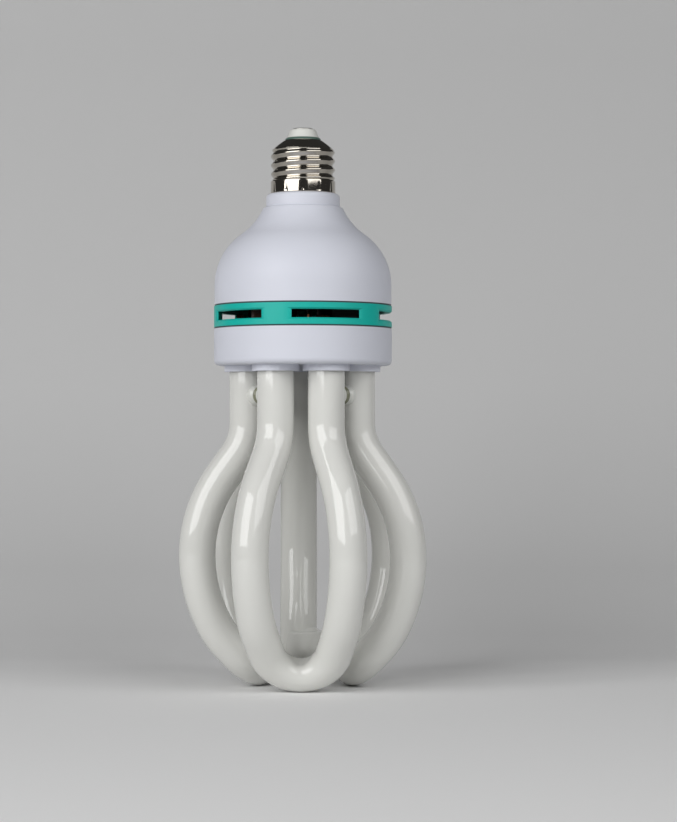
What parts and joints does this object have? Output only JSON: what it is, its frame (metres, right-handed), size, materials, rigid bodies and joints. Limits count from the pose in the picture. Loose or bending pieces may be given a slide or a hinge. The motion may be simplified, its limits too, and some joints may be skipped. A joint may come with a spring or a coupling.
{
  "type": "compact fluorescent bulb",
  "caption": "Compact fluorescent bulb with an E27 screw cap, a bell-shaped ballast housing with a turquoise vent ring, and bent white glass tubes set like petals.",
  "frame": {"origin": "on the lamp's axis where the rim of the screw shell seats on the housing collar", "axes": "+Z along the axis towards the centre contact, -Y towards the front petal"},
  "size_m": [0.0999, 0.0972, 0.227],
  "materials": {
    "nickel": "bright nickel plate on rolled sheet",
    "white_insulator": "white moulded insulator",
    "contact_metal": "tinned metal",
    "white_plastic": "satin white moulding",
    "turquoise_plastic": "satin turquoise moulding",
    "coated_glass": "clear glass tube coated white inside",
    "clear_glass": "clear glass",
    "cement": "set cement",
    "board": "bare laminate",
    "black_plastic": "black moulding",
    "ferrite": "sintered ferrite",
    "copper": "enamelled wire",
    "brown_resin": "dipped resin",
    "wire_sleeve": "insulated wire"
  },
  "bodies": {
    "root": {"screw_shell": "nickel", "cap_insulator": "white_insulator", "centre_contact": "contact_metal", "upper_housing": "white_plastic", "vent_ring": "turquoise_plastic", "lower_housing": "white_plastic", "front_tube": "coated_glass", "left_tube": "coated_glass", "right_tube": "coated_glass", "back_tube": "coated_glass", "front_left_bridge": "clear_glass", "front_right_bridge": "clear_glass", "back_right_bridge": "clear_glass", "tube_cement": "cement", "circuit_board": "board", "bulk_capacitor": "black_plastic", "choke_core": "ferrite", "choke_bobbin": "black_plastic", "choke_winding": "copper", "filter_choke_core": "ferrite", "filter_choke_winding": "copper", "drive_toroid_core": "ferrite", "drive_toroid_windings": "copper", "film_capacitors": "brown_resin", "transistors": "black_plastic", "rectifier_diodes": "black_plastic", "input_fuse": "brown_resin", "thermistor": "brown_resin", "tube_leads": "contact_metal", "live_lead": "wire_sleeve", "neutral_lead": "wire_sleeve"}
  },
  "joints": []
}
